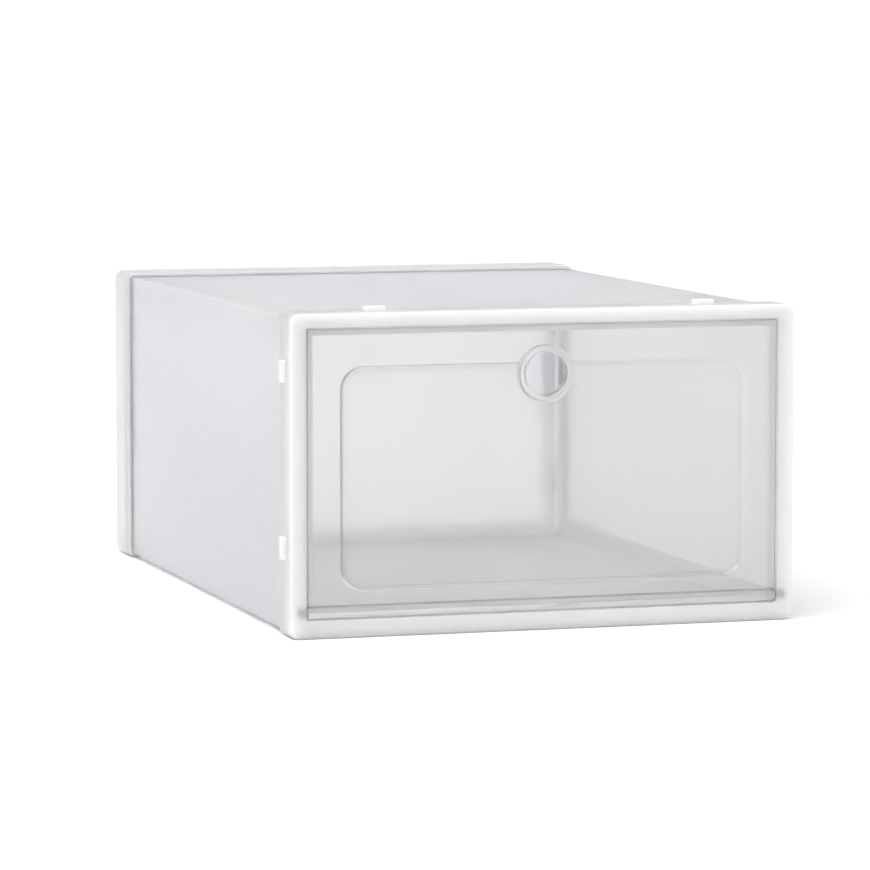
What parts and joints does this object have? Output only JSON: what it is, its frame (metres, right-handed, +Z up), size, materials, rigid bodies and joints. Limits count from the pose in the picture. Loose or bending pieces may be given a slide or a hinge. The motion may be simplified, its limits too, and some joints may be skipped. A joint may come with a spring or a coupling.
{
  "type": "stackable shoe box",
  "caption": "Stackable see-through shoe box with a hinged drop-down front door, a finger ring, frosted panels in two moulded frames, and tabs that lock it to its neighbours.",
  "frame": {"origin": "on the ground, in the middle of the case's footprint, which leaves out the side tabs and the finger ring", "axes": "+X to the right of someone facing the door, +Y from the door to the back, +Z up"},
  "size_m": [0.2324, 0.3316, 0.1424],
  "materials": {
    "frame_plastic": "white translucent moulded plastic, satin",
    "frosted_plastic": "frosted translucent sheet",
    "clear_plastic": "clear glossy moulded plastic"
  },
  "bodies": {
    "case": {"front_frame": "frame_plastic", "rear_frame": "frame_plastic", "left_panel": "frosted_plastic", "right_panel": "frosted_plastic", "top_panel": "frosted_plastic", "bottom_panel": "frosted_plastic", "back_panel": "frosted_plastic"},
    "door": {"door": "clear_plastic"}
  },
  "joints": [
    {"name": "door_hinge", "type": "hinge", "parent": "case", "child": "door", "pos_m": [0, -0.1616, 0.0113], "axis": [1, 0, 0], "range_deg": [0, 90]}
  ]
}
